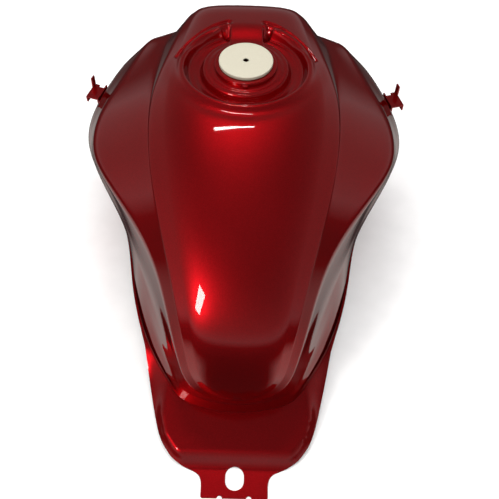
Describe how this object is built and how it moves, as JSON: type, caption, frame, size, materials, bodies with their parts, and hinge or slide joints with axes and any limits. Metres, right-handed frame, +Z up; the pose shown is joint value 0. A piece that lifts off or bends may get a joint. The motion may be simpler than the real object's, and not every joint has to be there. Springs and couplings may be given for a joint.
{
  "type": "fuel tank",
  "caption": "Motorcycle fuel tank: pressed steel shell over a tunnelled underside pan, with filler neck and plug, hooks, fuel tap and level sender.",
  "frame": {"origin": "centre of the footprint, on the plane the tank stands on", "axes": "+Y forward (steering head end), +X to the rider's right, +Z up"},
  "size_m": [0.4406, 0.5824, 0.2764],
  "materials": {
    "candy_red": "gloss candy metallic",
    "steel": "zinc plated",
    "alloy": "die cast",
    "cream_plastic": "matt",
    "white_plastic": "matt",
    "black_plastic": "satin",
    "rubber": "matt",
    "brass": "drawn"
  },
  "bodies": {
    "tank": {"outer_shell": "candy_red", "underside_pan": "candy_red", "filler_neck": "candy_red", "drain_tube": "steel", "slosh_baffle": "steel", "front_bracket_left": "steel", "shroud_hook_left": "candy_red", "front_bracket_right": "steel", "shroud_hook_right": "candy_red", "tap_flange": "steel", "tap_gasket": "rubber", "tap_body": "alloy", "tap_bolt_front": "steel", "tap_bolt_rear": "steel", "tap_strainer": "white_plastic", "tap_lever_plate": "steel", "tap_screw_front": "steel", "tap_screw_rear": "steel", "sender_ring": "steel", "sender_gasket": "rubber", "sender_body": "alloy", "sender_screw_1": "steel", "sender_screw_2": "steel", "sender_screw_3": "steel", "sender_screw_4": "steel"},
    "plug": {"filler_plug": "cream_plastic"},
    "lever": {"tap_lever": "black_plastic"},
    "level_arm": {"float_arm": "brass", "float": "white_plastic"}
  },
  "joints": [
    {"name": "plug_lift", "type": "slide", "parent": "tank", "child": "plug", "axis": [0, 0, 1], "range_m": [0, 0.06]},
    {"name": "tap_turn", "type": "hinge", "parent": "tank", "child": "lever", "pos_m": [-0.102, -0.01515, 0.0155], "axis": [1, 0, 0], "range_deg": [0, 180]},
    {"name": "float_swing", "type": "hinge", "parent": "tank", "child": "level_arm", "pos_m": [0.092, -0.03015, 0.066], "axis": [1, 0, 0], "range_deg": [0, 58]}
  ]
}
